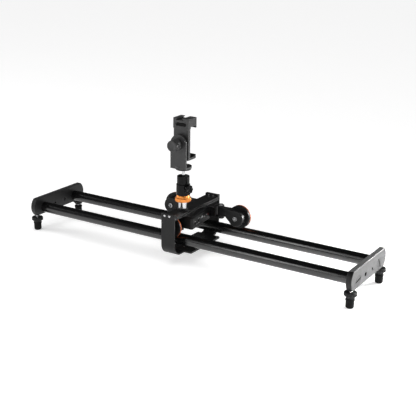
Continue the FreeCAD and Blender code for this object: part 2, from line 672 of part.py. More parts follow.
def wheel_axle(side):
    """Shoulder screw through the pod, with a retaining cap outside the wheel."""
    x = side_x(side, ARM_WHEEL_REACH)
    z = up(WHEEL_Z)
    axle = union([rod_y(5.2, x, ARM_Y[0] - 1.6, ARM_Y[0], z), rod_y(AXLE_R, x, ARM_Y[0], WHEEL_Y[1] + 0.4, z),
                  rod_y(6.0, x, WHEEL_Y[1] + 0.4, WHEEL_Y[1] + 2.2, z)])
    return axle.cut(rod_y(2.0, x, ARM_Y[0] - 2, ARM_Y[0] + 1.2, z))


def build_arms():
    save("hinge_block", hinge_block())
    save("arm_pivot_pins", group([pivot_pin(-1), pivot_pin(1)]))
    z = up(WHEEL_Z)
    hub_r = WHEEL_R - TYRE_T
    for name, side in (("left", -1), ("right", 1)):
        x = side_x(side, ARM_WHEEL_REACH)
        save("arm_" + name, arm(side))
        save("wheel_axle_" + name, wheel_axle(side))
        hub = union([rod_y(WHEEL_R, x, WHEEL_Y[0], TYRE_Y0, z), rod_y(hub_r, x, TYRE_Y0, WHEEL_Y[1], z)])
        hub = hub.cut(ring_y(hub_r - 4, 8.0, x, WHEEL_Y[1] - 3, WHEEL_Y[1] + 1, z))
        save("wheel_hub_" + name, hub.cut(rod_y(AXLE_R + RUN_FIT, x, WHEEL_Y[0] - 1, WHEEL_Y[1] + 1, z)))
        tyre = ring_y(WHEEL_R, hub_r, x, TYRE_Y0, WHEEL_Y[1], z)
        save("wheel_tyre_" + name, round_edges(tyre, 0.6, lambda e: e.BoundBox.ZLength > 2 * hub_r + 1))


# ---- ball head ------------------------------------------------------------
def turned(shape):
    """Swing a shape drawn along +X round the head's axis to the lock knob's direction."""
    shape.rotate(V(HEAD_X, HEAD_Y, 0), V(0, 0, 1), HEAD_KNOB_TURN)
    return shape


def build_head():
    x = HEAD_X
    y = HEAD_Y
    ring0 = up(RING_Z[0])
    ring1 = up(RING_Z[1])
    body0 = up(HEAD_Z[0])
    step = up(HEAD_Z[1])
    rim = up(HEAD_Z[2])
    neck = union([rod_z(NECK_R, x, y, up(SEAT_TOP), ring0 - 0.3), rod_z(7.0, x, y, ring0 - 0.3, body0 + 6),
                  rod_z(STUD_R, x, y, up(BAR_BOTTOM), up(SEAT_TOP))])
    save("head_neck", neck)
    ring = union([rod_z(RING_R, x, y, ring0, ring0 + 8.5), cone_z(RING_R - 0.8, 14.4, x, y, ring0 + 8.5, ring1)])
    ring = bevel_edges(ring, 0.8, lambda e: lies_at(e, "z", ring0))
    for notch in scallops(RING_R + 0.7, 30, 1.3, V(0, 0, 8.5), V(x, y, ring0), around_z):
        ring = ring.cut(notch)
    save("lock_ring", ring.cut(rod_z(7.0 + RUN_FIT, x, y, ring0 - 1, ring1 + 1)))
    body = union([rod_z(HEAD_R, x, y, body0, step), cone_z(HEAD_R, CUP_R, x, y, step, step + 2),
                  rod_z(CUP_R, x, y, step + 2, rim)])
    body = bevel_edges(body, 0.8, lambda e: lies_at(e, "z", rim) or lies_at(e, "z", body0))
    centre = V(x, y, up(BALL_Z))
    body = body.cut(Part.makeSphere(BALL_R + RUN_FIT, centre))
    body = body.cut(cone_z(*BALL_MOUTH_R, x, y, up(BALL_Z + 6), rim + 0.01))
    body = body.cut(rod_z(7.0 + RUN_FIT, x, y, body0 - 1, body0 + 6.3))
    knob_hole = rod_x(4.0 + RUN_FIT, x + BALL_R - 1.0, x + HEAD_R + 1, y, up(HEAD_KNOB_Z))
    save("head_body", body.cut(turned(knob_hole)))
    stem = union([Part.makeSphere(BALL_R, centre), rod_z(STEM_R, x, y, up(BALL_Z), up(PLATFORM_Z[0]))])
    save("ball_stem", stem)
    platform = union([rod_z(PLATFORM_R, x, y, up(PLATFORM_Z[0]), up(PLATFORM_Z[1])),
                      rod_z(THREAD_14_R - 0.1, x, y, up(PLATFORM_Z[1]), up(PLATFORM_Z[1]) + BRACKET_FOOT_T + 3)])
    save("head_platform", bevel_edges(platform, 0.9, lambda e: lies_at(e, "z", up(PLATFORM_Z[0]))))
    knob_x = x + HEAD_R + 0.6
    zk = up(HEAD_KNOB_Z)
    knob_end = knob_x + HEAD_KNOB_LENGTH
    knob = rod_x(HEAD_KNOB_R, knob_x + 1.5, knob_end, y, zk)
    knob = bevel_edges(knob, 1.2, lambda e: lies_at(e, "x", knob_end))
    for notch in scallops(HEAD_KNOB_R + 2.2, 8, 3.2, V(HEAD_KNOB_LENGTH + 1, 0, 0), V(knob_x + 1, y, zk), around_x):
        knob = knob.cut(notch)
    knob = union([knob, rod_x(6.0, knob_x, knob_x + 2, y, zk), rod_x(4.0, x + BALL_R - 0.8, knob_x + 1, y, zk)])
    save("head_knob", turned(knob.cut(rod_x(2.4, knob_end - 1.5, knob_end + 1, y, zk))))


# ---- phone clamp ----------------------------------------------------------
def clamp_bracket():
    y0, y1 = BRACKET_Y
    x0 = CLAMP_X - BRACKET_HALF
    x1 = CLAMP_X + BRACKET_HALF
    z0 = up(PLATFORM_Z[1])
    zp = up(PIVOT_Z)
    edges = [line(V(x0, y0, zp), V(x0, y0, z0)), line(V(x0, y0, z0), V(x1, y0, z0)),
             line(V(x1, y0, z0), V(x1, y0, zp)), arc(V(x1, y0, zp), V(CLAMP_X, y0, zp + BRACKET_HALF), V(x0, y0, zp))]
    plate = slab(edges, V(0, y1 - y0, 0))
    foot = union([box(x0, x1, y0, HEAD_Y, z0, z0 + BRACKET_FOOT_T),
                  rod_z(BRACKET_HALF, CLAMP_X, HEAD_Y, z0, z0 + BRACKET_FOOT_T)])
    bracket = union([plate, foot])
    bracket = bracket.cut(rod_z(THREAD_14_R + 0.1, HEAD_X, HEAD_Y, z0 - 1, z0 + BRACKET_FOOT_T + 1))
    return bracket.cut(rod_y(STUD_R + RUN_FIT, CLAMP_X, y0 - 1, y1 + 1, zp))


def pivot_knob():
    y0, y1 = KNOB_Y
    z = up(PIVOT_Z)
    face = rod_y(KNOB_R - 0.4, CLAMP_X, y0, y0 + 8, z)
    face = bevel_edges(face, 1.2, lambda e: lies_at(e, "y", y0))
    grip = rod_y(KNOB_R, CLAMP_X, y0 + 9.5, y1 - 5, z)
    for notch in scallops(KNOB_R + 1.0, 18, 1.7, V(0, y1 - y0, 0), V(CLAMP_X, y0 + 9, z), around_y):
        grip = grip.cut(notch)
    return union([face, rod_y(KNOB_R - 1.8, CLAMP_X, y0 + 8, y0 + 9.5, z), grip,
                  rod_y(8.0, CLAMP_X, y1 - 5, y1, z), rod_y(STUD_R, CLAMP_X, y1, BODY_Y[0] - 1.0, z)])


def clamp_body():
    """Back plate with the fixed lower jaw and the boss that it turns on."""
    y0, y1 = BODY_Y
    z0, z1 = up(BODY_Z[0]), up(BODY_Z[1])
    x0 = CLAMP_X - BODY_HALF
    x1 = CLAMP_X + BODY_HALF
    plate = box(x0, x1, y0, y1, z0, z1)
    jaw = box(x0, x1, y1, JAW_TIP_Y, z0, z0 + 5)
    hook = box(x0, x1, JAW_TIP_Y - 3, JAW_TIP_Y, z0 + 5, z0 + 9.5)
    boss = rod_y(PIVOT_BOSS_R, CLAMP_X, BRACKET_Y[1] + 0.3, y0, up(PIVOT_Z))
    body = union([plate, jaw, hook, boss])
    for dx in (-ROD_X, ROD_X):
        body = body.cut(rod_z(2.6, CLAMP_X + dx, (y0 + y1) / 2, z0 + 2, z1 + 1))
    return body.cut(rod_y(STUD_R + RUN_FIT, CLAMP_X, BRACKET_Y[1] - 1, y0 + 0.5, up(PIVOT_Z)))


def clamp_jaw():
    """Sliding upper jaw with an accessory shoe along its top."""
    y0, y1 = BODY_Y
    z0, z1 = up(JAW_Z[0]), up(JAW_Z[1])
    x0 = CLAMP_X - JAW_HALF
    x1 = CLAMP_X + JAW_HALF
    block = box(x0, x1, y0 - 0.8, y1, z0, z1)
    jaw = box(x0, x1, y1, JAW_TIP_Y, z0 + 5, z1)
    hook = box(x0, x1, JAW_TIP_Y - 3, JAW_TIP_Y, z0, z0 + 5)
    jaw = union([block, jaw, hook])
    cavity = box(SHOE_X - SHOE_CAVITY / 2, SHOE_X + SHOE_CAVITY / 2, y0 - 2, JAW_TIP_Y + 1,
                 z1 - SHOE_DEPTH, z1 - SHOE_LIP)
    gap = box(SHOE_X - SHOE_GAP / 2, SHOE_X + SHOE_GAP / 2, y0 - 2, JAW_TIP_Y + 1, z1 - SHOE_DEPTH, z1 + 1)
    window = union([box(CLAMP_X - 9.5, CLAMP_X + 9.5, y0 - 2, y0 + 2.4, z0 + 5, z0 + 13.4),
                    rod_y(4.2, CLAMP_X - 9.5, y0 - 2, y0 + 2.4, z0 + 9.2),
                    rod_y(4.2, CLAMP_X + 9.5, y0 - 2, y0 + 2.4, z0 + 9.2)])
    for cut in (cavity, gap, window):
        jaw = jaw.cut(cut)
    for dx in (-ROD_X, ROD_X):
        jaw = jaw.cut(rod_z(ROD_R, CLAMP_X + dx, (y0 + y1) / 2, z0 - 1, z0 + 4))
    return jaw


def build_clamp():
    y0, y1 = BODY_Y
    mid_y = (y0 + y1) / 2
    body0 = up(BODY_Z[0])
    rod0 = up(196.0)
    jaw0 = up(JAW_Z[0])
    save("clamp_bracket", clamp_bracket())
    save("pivot_knob", pivot_knob())
    save("clamp_body", clamp_body())
    save("clamp_jaw", clamp_jaw())
    save("guide_rods", group([rod_z(ROD_R, CLAMP_X + dx, mid_y, rod0, jaw0 + 4) for dx in (-ROD_X, ROD_X)]))
    springs = [rod_z(2.3, CLAMP_X + dx, mid_y, body0 + 2, rod0).cut(
        rod_z(1.6, CLAMP_X + dx, mid_y, body0 + 1, rod0 + 1)) for dx in (-ROD_X, ROD_X)]
    save("jaw_springs", group(springs))
    back_pad = box(CLAMP_X - 15, CLAMP_X + 15, y1, y1 + PAD_T, up(196.0), up(236.0))
    jaw_pad = box(CLAMP_X - 17, CLAMP_X + 17, y1 + PAD_T, JAW_TIP_Y - 3, body0 + 5, body0 + 5 + PAD_T)
    save("lower_pads", group([back_pad, jaw_pad]))
    save("upper_pad", box(CLAMP_X - 17, CLAMP_X + 17, y1 + PAD_T, JAW_TIP_Y - 3, jaw0 + 5 - PAD_T, jaw0 + 5))


build_rails()
build_feet()
build_strap()
build_case()
build_drive_wheel()
build_arms()
build_head()
build_clamp()
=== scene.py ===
import json
import math

import bpy
import numpy as np
from mathutils import Matrix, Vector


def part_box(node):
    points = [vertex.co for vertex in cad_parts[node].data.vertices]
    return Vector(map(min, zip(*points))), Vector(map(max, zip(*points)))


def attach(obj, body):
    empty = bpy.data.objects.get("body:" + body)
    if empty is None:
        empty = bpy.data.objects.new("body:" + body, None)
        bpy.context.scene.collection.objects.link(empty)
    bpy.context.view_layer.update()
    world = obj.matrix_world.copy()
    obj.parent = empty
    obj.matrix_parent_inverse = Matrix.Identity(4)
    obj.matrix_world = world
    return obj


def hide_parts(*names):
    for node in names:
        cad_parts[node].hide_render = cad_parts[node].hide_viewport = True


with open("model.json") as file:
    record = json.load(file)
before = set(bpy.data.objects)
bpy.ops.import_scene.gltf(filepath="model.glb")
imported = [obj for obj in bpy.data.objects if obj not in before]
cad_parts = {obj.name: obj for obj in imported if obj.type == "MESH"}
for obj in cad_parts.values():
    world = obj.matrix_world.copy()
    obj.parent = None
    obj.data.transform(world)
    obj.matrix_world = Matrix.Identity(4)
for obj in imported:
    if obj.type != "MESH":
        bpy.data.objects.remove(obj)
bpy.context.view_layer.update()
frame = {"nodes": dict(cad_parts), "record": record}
nodes = frame["nodes"]
mm = 0.001


# helpers for new surfaces
def addMesh(name, points, faces, body, smooth=True):
    mesh = bpy.data.meshes.new(name)
    mesh.from_pydata(points.tolist(), [], [list(face) for face in faces])
    mesh.polygons.foreach_set("use_smooth", [smooth] * len(mesh.polygons))
    mesh.validate()
    piece = bpy.data.objects.new(name, mesh)
    bpy.context.scene.collection.objects.link(piece)
    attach(piece, body)
    return piece


# quads over a grid of rows x columns; the columns close into a ring, and the rows too if asked
def gridFaces(rows, columns, closeRows=False):
    r = np.arange(rows if closeRows else rows - 1)[:, None]
    c = np.arange(columns)[None, :]
    rNext = (r + 1) % rows
    cNext = (c + 1) % columns
    quads = [r * columns + c, r * columns + cNext, rNext * columns + cNext, rNext * columns + c]
    return np.stack(quads, -1).reshape(-1, 4)


# turns local points (across, across, along) so that along follows the given axis from the centre
def placeAlong(local, centre, axis):
    along = np.array(axis, float) / np.linalg.norm(axis)
    helper = np.array([0.0, 0.0, 1.0]) if abs(along[2]) < 0.9 else np.array([1.0, 0.0, 0.0])
    first = np.cross(helper, along)
    first /= np.linalg.norm(first)
    second = np.cross(along, first)
    basis = np.stack([first, second, along])
    return local @ basis + np.array(centre, float)


# rows of (radius, height, flute) turned into a grid; the flute is taken off the radius in count round-bottomed
# grooves: R = r - flute * (0.5 - 0.5 cos(count * angle)) ^ sharp
def turnedGrid(profile, steps, count, sharp):
    rows = np.array([(r, h, f[0] if f else 0.0) for r, h, *f in profile], float)
    angle = np.linspace(0, 2 * np.pi, steps, endpoint=False)[None, :]
    across = rows[:, :1] - rows[:, 2:] * (0.5 - 0.5 * np.cos(count * angle)) ** sharp
    height = rows[:, 1:2] + 0 * angle
    return np.stack([across * np.cos(angle), across * np.sin(angle), height], -1).reshape(-1, 3)


# a closed profile in mm turned about an axis, as for a ring with a bore
def turnedPiece(name, profile, centre, axis, body, steps, count=0, sharp=1.0):
    side = turnedGrid(profile, steps, count, sharp) * mm
    return addMesh(name, placeAlong(side, centre, axis), gridFaces(len(profile), steps, True), body)


# the same turning for a solid piece: the profile runs from end to end, and each end closes on the axis
def turnedSolid(name, profile, centre, axis, body, steps, count, sharp):
    side = turnedGrid(profile, steps, count, sharp)
    points = withPoles(side, profile[0][1], profile[-1][1]) * mm
    return addMesh(name, placeAlong(points, centre, axis), poleFaces(len(profile), steps), body)


# the side's points, then one point on the axis at each end
def withPoles(side, first, last):
    return np.vstack([side, [[0, 0, first], [0, 0, last]]])


# the open grid's quads, and a fan of triangles at each end
def poleFaces(rows, steps):
    c = np.arange(steps)
    after = (c + 1) % steps
    start, end = rows * steps, rows * steps + 1
    low = np.stack([np.full(steps, start), after, c], -1)
    high = np.stack([np.full(steps, end), (rows - 1) * steps + c, (rows - 1) * steps + after], -1)
    return gridFaces(rows, steps).tolist() + low.tolist() + high.tolist()


# walls and two caps of a prism whose outline's points are followed by the same points pushed along
def prismFaces(base, count, reverse=False):
    ring = base + np.arange(count)
    after = base + (np.arange(count) + 1) % count
    walls = np.stack([ring, after, count + after, count + ring], -1).tolist()
    faces = walls + [ring[::-1].tolist(), (count + ring).tolist()]
    return [face[::-1] for face in faces] if reverse else faces


# points round an arc between two directions in degrees, for a rounded profile corner:
# centre + radius * (cos t, sin t)
def corner(centreR, centreH, radius, start, end, steps=5):
    turn = np.radians(np.linspace(start, end, steps))
    return [(centreR + radius * math.cos(t), centreH + radius * math.sin(t)) for t in turn]


def nodeCentre(node):
    low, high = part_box(node)
    return [(low[i] + high[i]) / 2 for i in range(3)]


# materials
def newMaterial(name):
    material = bpy.data.materials.new(name)
    material.use_nodes = True
    tree = material.node_tree
    return material, tree.nodes, tree.links, tree.nodes["Principled BSDF"]


def objectPattern(tree, links, stretch=(1, 1, 1)):
    coords = tree.new("ShaderNodeTexCoord")
    mapping = tree.new("ShaderNodeMapping")
    mapping.inputs["Scale"].default_value = stretch
    links.new(coords.outputs["Object"], mapping.inputs["Vector"])
    return mapping.outputs["Vector"]


def noise(tree, links, vector, scale, detail=3.0, rough=0.55):
    texture = tree.new("ShaderNodeTexNoise")
    texture.inputs["Scale"].default_value = scale
    texture.inputs["Detail"].default_value = detail
    texture.inputs["Roughness"].default_value = rough
    links.new(vector, texture.inputs["Vector"])
    return texture.outputs["Fac"]


def ramp(tree, links, value, low, high, start=0.3, end=0.7):
    node = tree.new("ShaderNodeValToRGB")
    for stop, position, tone in zip(node.color_ramp.elements, (start, end), (low, high)):
        stop.position = position
        stop.color = (*tone, 1) if isinstance(tone, tuple) else (tone, tone, tone, 1)
    links.new(value, node.inputs["Fac"])
    return node.outputs["Color"]


# base colour between a darker and a lighter share of the tone
def varyTone(tree, links, value, tone, darker, lighter, lift=0.0):
    dark = tuple(c * darker for c in tone)
    light = tuple(min(c * lighter + lift, 1.0) for c in tone)
    return ramp(tree, links, value, dark, light)


def varyRoughness(tree, links, value, shader, roughness, smoother, rougher):
    links.new(ramp(tree, links, value, roughness - smoother, roughness + rougher), shader.inputs["Roughness"])


# either colour may be a socket or a plain tone
def blend(tree, links, factor, first, second):
    node = tree.new("ShaderNodeMix")
    node.data_type = "RGBA"
    links.new(factor, node.inputs["Factor"])
    for socket, value in (("A", first), ("B", second)):
        target = [s for s in node.inputs if s.name == socket and s.type == "RGBA"][0]
        if isinstance(value, tuple):
            target.default_value = (*value, 1)
        else:
            links.new(value, target)
    return [s for s in node.outputs if s.type == "RGBA"][0]


def bump(tree, links, height, shader, strength, distance):
    node = tree.new("ShaderNodeBump")
    node.inputs["Strength"].default_value = strength
    node.inputs["Distance"].default_value = distance
    links.new(height, node.inputs["Height"])
    links.new(node.outputs["Normal"], shader.inputs["Normal"])


# painted edge highlight: the rounded normal leaves the true one only near an edge, which shows as a paler line of
# painted highlight
def paintedEdgeHighlight(tree, links, width):
    rounded = tree.new("ShaderNodeBevel")
    rounded.samples = 4
    rounded.inputs["Radius"].default_value = width
    surface = tree.new("ShaderNodeNewGeometry")
    dot = tree.new("ShaderNodeVectorMath")
    dot.operation = "DOT_PRODUCT"
    links.new(rounded.outputs["Normal"], dot.inputs[0])
    links.new(surface.outputs["Normal"], dot.inputs[1])
    mask = tree.new("ShaderNodeMapRange")
    mask.inputs["From Min"].default_value = 0.985
    mask.inputs["From Max"].default_value = 0.80
    links.new(dot.outputs["Value"], mask.inputs["Value"])
    return mask.outputs["Result"]


# bead-blasted or powder-coated metal: fine grain, faint handling marks and edges painted paler as a painted
# highlight
def blastedMetal(name, tone, edgeHighlightTone, roughness, specular, grain=2600, grainHeight=0.00006, metallic=0.0,
                 edge=0.0012):
    material, tree, links, shader = newMaterial(name)
    vector = objectPattern(tree, links)
    fine = noise(tree, links, vector, grain, detail=2.0)
    marks = noise(tree, links, vector, scale=38, detail=5.0, rough=0.65)
    body = varyTone(tree, links, marks, tone, darker=0.86, lighter=1.16)
    # the edges take the paler tone as a painted highlight
    body = blend(tree, links, paintedEdgeHighlight(tree, links, edge), body, edgeHighlightTone)
    links.new(body, shader.inputs["Base Color"])
    varyRoughness(tree, links, marks, shader, roughness, smoother=0.05, rougher=0.06)
    shader.inputs["Metallic"].default_value = metallic
    shader.inputs["Specular IOR Level"].default_value = specular
    bump(tree, links, fine, shader, strength=0.55, distance=grainHeight)
    return material


# drawn and anodised tube: long fine streaks along X with a soft bright line where it meets the light
def drawnTube(name, tone, roughness):
    material, tree, links, shader = newMaterial(name)
    streaks = noise(tree, links, objectPattern(tree, links, stretch=(3, 900, 900)), scale=1.0)
    marks = noise(tree, links, objectPattern(tree, links), scale=22, detail=5.0, rough=0.6)
    body = varyTone(tree, links, marks, tone, darker=0.8, lighter=1.3)
    links.new(body, shader.inputs["Base Color"])
    varyRoughness(tree, links, streaks, shader, roughness, smoother=0.05, rougher=0.07)
    shader.inputs["Specular IOR Level"].default_value = 0.8
    bump(tree, links, streaks, shader, strength=0.25, distance=0.00004)
    return material


# moulded plastic or rubber: spark-eroded texture under a thin sheen
def moulded(name, tone, roughness, grain=1500, grainHeight=0.0001, specular=0.45):
    material, tree, links, shader = newMaterial(name)
    vector = objectPattern(tree, links)
    cells = tree.new("ShaderNodeTexVoronoi")
    cells.inputs["Scale"].default_value = grain
    links.new(vector, cells.inputs["Vector"])
    dust = noise(tree, links, vector, scale=60, detail=6.0, rough=0.7)
    body = varyTone(tree, links, dust, tone, darker=0.82, lighter=1.22, lift=0.002)
    links.new(body, shader.inputs["Base Color"])
    varyRoughness(tree, links, dust, shader, roughness, smoother=0.06, rougher=0.08)
    shader.inputs["Specular IOR Level"].default_value = specular
    bump(tree, links, cells.outputs["Distance"], shader, strength=0.35, distance=grainHeight)
    return material


# machined metal: turning marks about the given axis, as fine waves of the distance from it
def turnedMetal(name, tone, roughness, centre, axis="Z", metallic=1.0):
    material, tree, links, shader = newMaterial(name)
    coords = tree.new("ShaderNodeTexCoord")
    mapping = tree.new("ShaderNodeMapping")
    mapping.inputs["Location"].default_value = [-c for c in centre]
    links.new(coords.outputs["Object"], mapping.inputs["Vector"])
    rings = tree.new("ShaderNodeTexWave")
    rings.wave_type = "RINGS"
    rings.rings_direction = axis
    rings.inputs["Scale"].default_value = 260
    rings.inputs["Distortion"].default_value = 0.4
    links.new(mapping.outputs["Vector"], rings.inputs["Vector"])
    smudge = noise(tree, links, mapping.outputs["Vector"], scale=120, detail=5.0, rough=0.6)
    body = varyTone(tree, links, smudge, tone, darker=0.88, lighter=1.1)
    links.new(body, shader.inputs["Base Color"])
    varyRoughness(tree, links, smudge, shader, roughness, smoother=0.04, rougher=0.08)
    shader.inputs["Metallic"].default_value = metallic
    bump(tree, links, rings.outputs["Fac"], shader, strength=0.2, distance=0.00002)
    return material


# printed board or shrink sleeve inside the case: coloured film with small blotches
def filmed(name, tone, accent, scale):
    material, tree, links, shader = newMaterial(name)
    blotches = noise(tree, links, objectPattern(tree, links), scale, detail=4.0, rough=0.8)
    body = ramp(tree, links, blotches, tone, accent, start=0.45, end=0.55)
    links.new(body, shader.inputs["Base Color"])
    shader.inputs["Roughness"].default_value = 0.35
    bump(tree, links, blotches, shader, strength=0.2, distance=0.0001)
    return material


# red lamp lens with small facets
def lampLens(name, tone):
    material, tree, links, shader = newMaterial(name)
    facets = tree.new("ShaderNodeTexVoronoi")
    facets.inputs["Scale"].default_value = 1800
    links.new(objectPattern(tree, links), facets.inputs["Vector"])
    body = varyTone(tree, links, facets.outputs["Distance"], tone, darker=0.7, lighter=1.0)
    links.new(body, shader.inputs["Base Color"])
    shader.inputs["Roughness"].default_value = 0.15
    bump(tree, links, facets.outputs["Distance"], shader, strength=0.2, distance=0.0001)
    return material


# a soft grey bloom that shows where a painted face is seen at a low angle
def sheen(material):
    shader = material.node_tree.nodes["Principled BSDF"]
    shader.inputs["Sheen Weight"].default_value = 0.12
    shader.inputs["Sheen Roughness"].default_value = 0.45
    return material


headAxis = nodeCentre("ball_stem")
driveAxis = nodeCentre("drive_ring")
# each blasted metal's second tone is the paler colour of its painted edge highlight
finishes = {
    "plate": sheen(blastedMetal("platePaint", (0.004, 0.004, 0.0043), (0.06, 0.06, 0.06), 0.42, 0.32)),
    "rail": drawnTube("railAnodised", (0.002, 0.002, 0.0022), 0.22),
    "plug": blastedMetal("plugOxide", (0.005, 0.005, 0.0055), (0.03, 0.03, 0.03), 0.32, 0.3, metallic=0.2),
    "strap": blastedMetal("strapPowder", (0.007, 0.007, 0.0073), (0.05, 0.05, 0.05), 0.44, 0.28,
                          grain=1700, grainHeight=0.0001),
    "bar": blastedMetal("barAnodised", (0.005, 0.005, 0.0053), (0.07, 0.07, 0.07), 0.36, 0.35),
    "case": moulded("casePlastic", (0.003, 0.003, 0.0033), 0.44, specular=0.28),
    "rubber": moulded("blackRubber", (0.006, 0.006, 0.006), 0.68, 900, 0.00015, 0.12),
    "steel": turnedMetal("brightSteel", (0.62, 0.62, 0.63), 0.24, headAxis, "Y"),
    "nut": blastedMetal("nutAnodised", (0.004, 0.004, 0.0043), (0.05, 0.05, 0.05), 0.34, 0.2),
    "wheel": moulded("wheelPlastic", (0.004, 0.004, 0.0043), 0.40, specular=0.25),
    "orange_tyre": moulded("orangeRim", (0.62, 0.15, 0.045), 0.38, 1200, 0.00005),
    "orange_metal": turnedMetal("orangeAnodised", (0.88, 0.30, 0.065), 0.30, headAxis, metallic=0.85),
    "chrome": turnedMetal("neckChrome", (0.62, 0.62, 0.63), 0.12, headAxis),
    "head": blastedMetal("headAnodised", (0.0015, 0.0015, 0.0016), (0.05, 0.05, 0.05), 0.17, 0.16,
                         grain=2200, grainHeight=0.00002),
    "clamp": blastedMetal("clampBlasted", (0.034, 0.034, 0.0345), (0.16, 0.16, 0.16), 0.40, 0.4),
    "motor": turnedMetal("motorCan", (0.45, 0.45, 0.46), 0.35, driveAxis, "Y"),
    "battery": filmed("batterySleeve", (0.03, 0.08, 0.20), (0.035, 0.09, 0.22), 90),
    "board": filmed("boardResist", (0.012, 0.10, 0.04), (0.02, 0.14, 0.06), 260),
    "bronze": turnedMetal("bearingBronze", (0.60, 0.40, 0.16), 0.35, driveAxis, "Y"),
    "silver_cap": moulded("silverCap", (0.42, 0.42, 0.43), 0.34, 1600, 0.00003),
    "lamp": lampLens("lampRed", (0.30, 0.02, 0.02)),
}
markInk = moulded("markInk", (0.62, 0.62, 0.62), 0.5, 1600, 0.00002, 0.3)
print("finishes made:", len(finishes))


def paint(piece, slotName):
    piece.data.materials.clear()
    piece.data.materials.append(finishes[slotName])


for entry in frame["record"]["subparts"]:
    paint(nodes[entry["node"]], entry["material_slot"])


# real rounded edges on the machined and moulded parts: weld the loose triangles, join flat areas, bevel;
# the widths are in mm
edgeRounding = {"weld": 0.00001, "flatWithin": 0.5, "sharpFrom": 32, "segments": 3, "evenWeight": 80}
softened = {
    "end_plate_left": 0.6, "end_plate_right": 0.6, "retaining_strap": 0.5, "base_plate": 0.6, "top_bar": 0.5,
    "case_shell": 0.5, "case_lid": 0.7, "hinge_block": 0.5, "arm_left": 0.7, "arm_right": 0.7,
    "clamp_bracket": 0.5, "clamp_body": 0.6, "clamp_jaw": 0.5, "head_platform": 0.4,
}


def softenEdges(piece, width, v):
    weld = piece.modifiers.new("weld", "WELD")
    weld.merge_threshold = v["weld"]
    flatten = piece.modifiers.new("flatten", "DECIMATE")
    flatten.decimate_type = "DISSOLVE"
    flatten.angle_limit = math.radians(v["flatWithin"])
    bevel = piece.modifiers.new("bevel", "BEVEL")
    bevel.width = width * mm
    bevel.segments = v["segments"]
    bevel.limit_method = "ANGLE"
    bevel.angle_limit = math.radians(v["sharpFrom"])
    even = piece.modifiers.new("evenNormals", "WEIGHTED_NORMAL")
    even.weight = v["evenWeight"]


for node, width in softened.items():
    softenEdges(nodes[node], width, edgeRounding)
print("edges rounded on", len(softened), "parts")


# threaded foot studs
studThread = {"radius": 3.0, "pitch": 1.0, "depth": 0.55, "pointsRound": 36, "rowsPerPitch": 8,
              "taperLength": 1.5, "taperCut": 0.6}


# thread: radius = r - depth * (0.5 + 0.5 cos(2 pi height / pitch - angle)), fading into a tapered top end
def threadedStud(node, v):
    low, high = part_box(node)
    length = (high[2] - low[2]) / mm
    rows = int(length / v["pitch"] * v["rowsPerPitch"])
    height = np.linspace(0, length, rows)[:, None]
    angle = np.linspace(0, 2 * np.pi, v["pointsRound"], endpoint=False)[None, :]
    wave = 0.5 + 0.5 * np.cos(2 * np.pi * height / v["pitch"] - angle)
    fade = np.clip((length - height) / v["taperLength"], 0, 1)
    radius = v["radius"] - v["depth"] * wave * fade - v["taperCut"] * (1 - fade)
    side = np.stack([radius * np.cos(angle), radius * np.sin(angle), height + 0 * angle], -1).reshape(-1, 3)
    centre = nodeCentre(node)
    points = withPoles(side, 0, length) * mm + np.array([centre[0], centre[1], low[2]])
    piece = addMesh("threaded_" + node, points, poleFaces(rows, v["pointsRound"]),
                    node.replace("foot_stud", "foot"))
    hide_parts(node)
    paint(piece, "steel")


for node in sorted(nodes):
    if node.startswith("foot_stud"):
        threadedStud(node, studThread)
print("studs threaded")

# knurled lock ring of the ball head
lockRing = {"bore": 7.06, "grip": 17.6, "shoulder": 14.4, "gripHeight": 8.6, "flute": 0.55, "flutes": 44,
            "lowRound": 1.6, "highRound": 1.2, "groove": 2.6, "pointsPerFlute": 8, "sharp": 0.7}


# up the outside: a rounded foot, a fluted grip, a shallow groove and a tapering shoulder
def makeLockRing(v):
    low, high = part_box("lock_ring")
    height = (high[2] - low[2]) / mm
    bore, grip, top = v["bore"], v["grip"], v["gripHeight"]
    lowRound, highRound = v["lowRound"], v["highRound"]
    profile = [(bore, 0.0), (grip - lowRound, 0.0)]
    profile += corner(grip - lowRound, lowRound, lowRound, -80, -30, 4)
    profile += [(grip, h, v["flute"]) for h in (2.0, top / 2, top - 1.6)]
    profile += corner(grip - lowRound, top - highRound, highRound, 20, 85, 4)
    profile += [(grip - v["groove"], top + 0.1), (grip - v["groove"] - 0.1, top + 0.7)]
    profile += [(v["shoulder"] + 0.3, height - 0.6), (v["shoulder"] - 0.4, height), (bore, height)]
    ring = turnedPiece("lockRingKnurled", profile, (headAxis[0], headAxis[1], low[2]), (0, 0, 1), "pan_ring",
                       v["flutes"] * v["pointsPerFlute"], v["flutes"], v["sharp"])
    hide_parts("lock_ring")
    paint(ring, "orange_metal")


makeLockRing(lockRing)

# orange running rims with rounded shoulders
rim = {"shoulder": 1.1, "steps": 128, "tread": (0.35, 0.65),
       "depth": {"drive_ring": 2.6, "wheel_tyre_left": 1.3, "wheel_tyre_right": 1.3}}


# a bored ring with its two outer corners rounded; tread gives where the flat part starts and ends, as shares
# of the width
def roundedRim(node, body, v):
    low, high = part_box(node)
    outer = (high[2] - low[2]) / 2 / mm
    width = (high[1] - low[1]) / mm
    inner = outer - v["depth"][node]
    shoulder = min(v["shoulder"], (outer - inner) * 0.9)
    profile = [(inner, 0.0)]
    profile += corner(outer - shoulder, shoulder, shoulder, -90, 0)
    profile += [(outer, width * share) for share in v["tread"]]
    profile += corner(outer - shoulder, width - shoulder, shoulder, 0, 90)
    profile += [(inner, width)]
    centre = nodeCentre(node)
    piece = turnedPiece(node + "_rim", profile, (centre[0], low[1], centre[2]), (0, 1, 0), body, v["steps"])
    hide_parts(node)
    paint(piece, "orange_tyre")


roundedRim("drive_ring", "drive_wheel", rim)
roundedRim("wheel_tyre_left", "left_wheel", rim)
roundedRim("wheel_tyre_right", "right_wheel", rim)
print("ring and rims turned")

